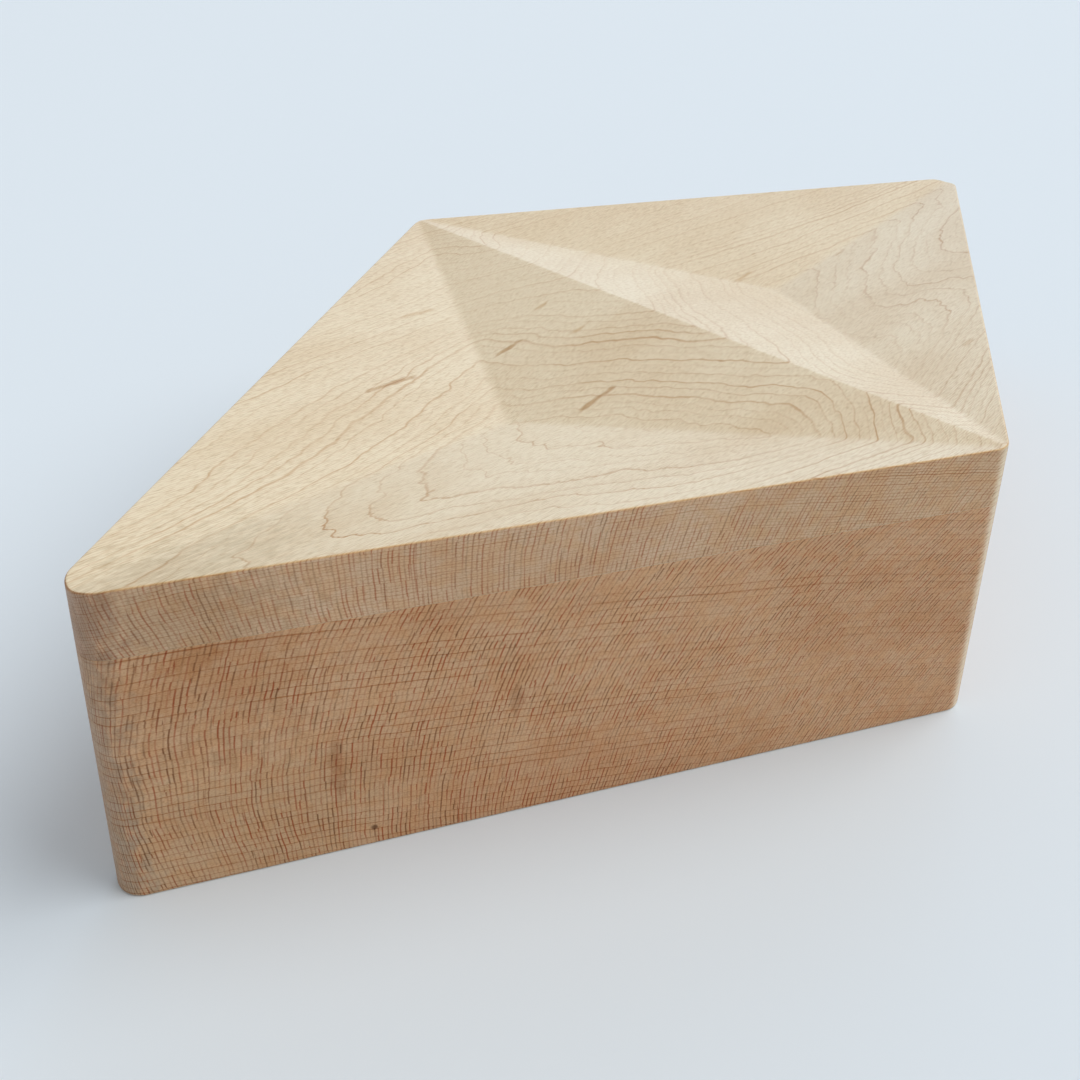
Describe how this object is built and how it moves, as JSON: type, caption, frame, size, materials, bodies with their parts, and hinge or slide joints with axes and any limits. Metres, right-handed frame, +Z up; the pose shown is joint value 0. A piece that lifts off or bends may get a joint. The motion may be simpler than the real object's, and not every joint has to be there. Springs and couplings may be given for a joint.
{
  "type": "puzzle box",
  "caption": "Rhombic maple puzzle box: a hollowed block under a lid carved into two facetted hollows, which swivels on a hidden bolt and is locked by hidden sliding pins.",
  "frame": {"origin": "centre of the base, on the surface that the box stands on", "axes": "+X along the long diagonal of the plan, from the pivot corner to the far corner; +Y along the short diagonal, away from the front face of the picture; +Z up"},
  "size_m": [0.254, 0.1506, 0.057],
  "materials": {
    "block_maple": "sanded, bare matte",
    "floor_maple": "sanded, bare matte",
    "lid_maple": "sanded, bare matte",
    "brass": "turned, dull",
    "steel": "ground",
    "nickel": "nickel plated"
  },
  "bodies": {
    "case": {"body_block": "block_maple", "floor_panel": "floor_maple", "pivot_bush": "brass", "stop_pin": "brass", "lock_sleeve_tip": "brass", "lock_sleeve_web": "brass", "rest_magnet_tip": "nickel", "rest_magnet_web": "nickel", "catch_magnets_block": "nickel"},
    "lid": {"lid_panel": "lid_maple", "pivot_insert": "brass", "pivot_bolt": "steel", "pivot_washer": "brass", "strike_cup_tip": "brass", "strike_cup_web": "brass", "lift_magnet_tip": "nickel", "lift_magnet_web": "nickel", "catch_magnets_lid": "nickel"},
    "lock_pin_tip": {"lock_pin_tip": "steel"},
    "lock_pin_web": {"lock_pin_web": "steel"}
  },
  "joints": [
    {"name": "lid_swivel", "type": "hinge", "parent": "case", "child": "lid", "pos_m": [-0.10764, 0, 0.0455], "axis": [0, 0, 1], "range_deg": [0, 90]},
    {"name": "lock_tip_lift", "type": "slide", "parent": "case", "child": "lock_pin_tip", "axis": [0, 0, 1], "range_m": [0, 0.004]},
    {"name": "lock_web_lift", "type": "slide", "parent": "case", "child": "lock_pin_web", "axis": [0, 0, 1], "range_m": [0, 0.004]}
  ]
}
